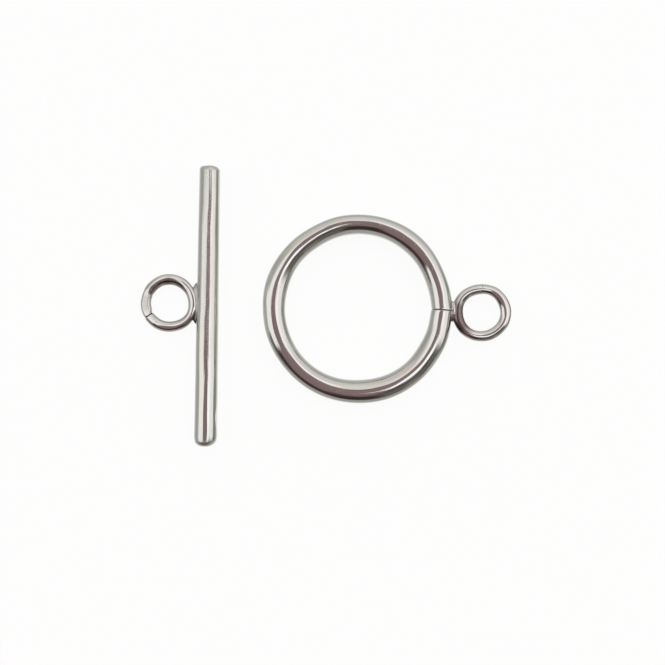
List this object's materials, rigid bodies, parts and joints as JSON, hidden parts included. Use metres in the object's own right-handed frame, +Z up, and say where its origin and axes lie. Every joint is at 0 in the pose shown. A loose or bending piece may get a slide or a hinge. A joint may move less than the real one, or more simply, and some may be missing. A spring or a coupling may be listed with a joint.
{
  "type": "toggle clasp",
  "caption": "Jewellery clasp of steel wire: a straight bar passes through a round ring and locks across it, and each half has a small soldered eye for the chain.",
  "frame": {"origin": "middle of the two halves as they lie side by side, on the surface under them", "axes": "+X from the bar half to the ring half, +Y along the bar, +Z up from the surface"},
  "size_m": [0.0312, 0.0238, 0.0018],
  "materials": {
    "polished_steel": "polished stainless wire"
  },
  "bodies": {
    "root": {"toggle_ring": "polished_steel", "toggle_bar": "polished_steel"}
  },
  "joints": []
}
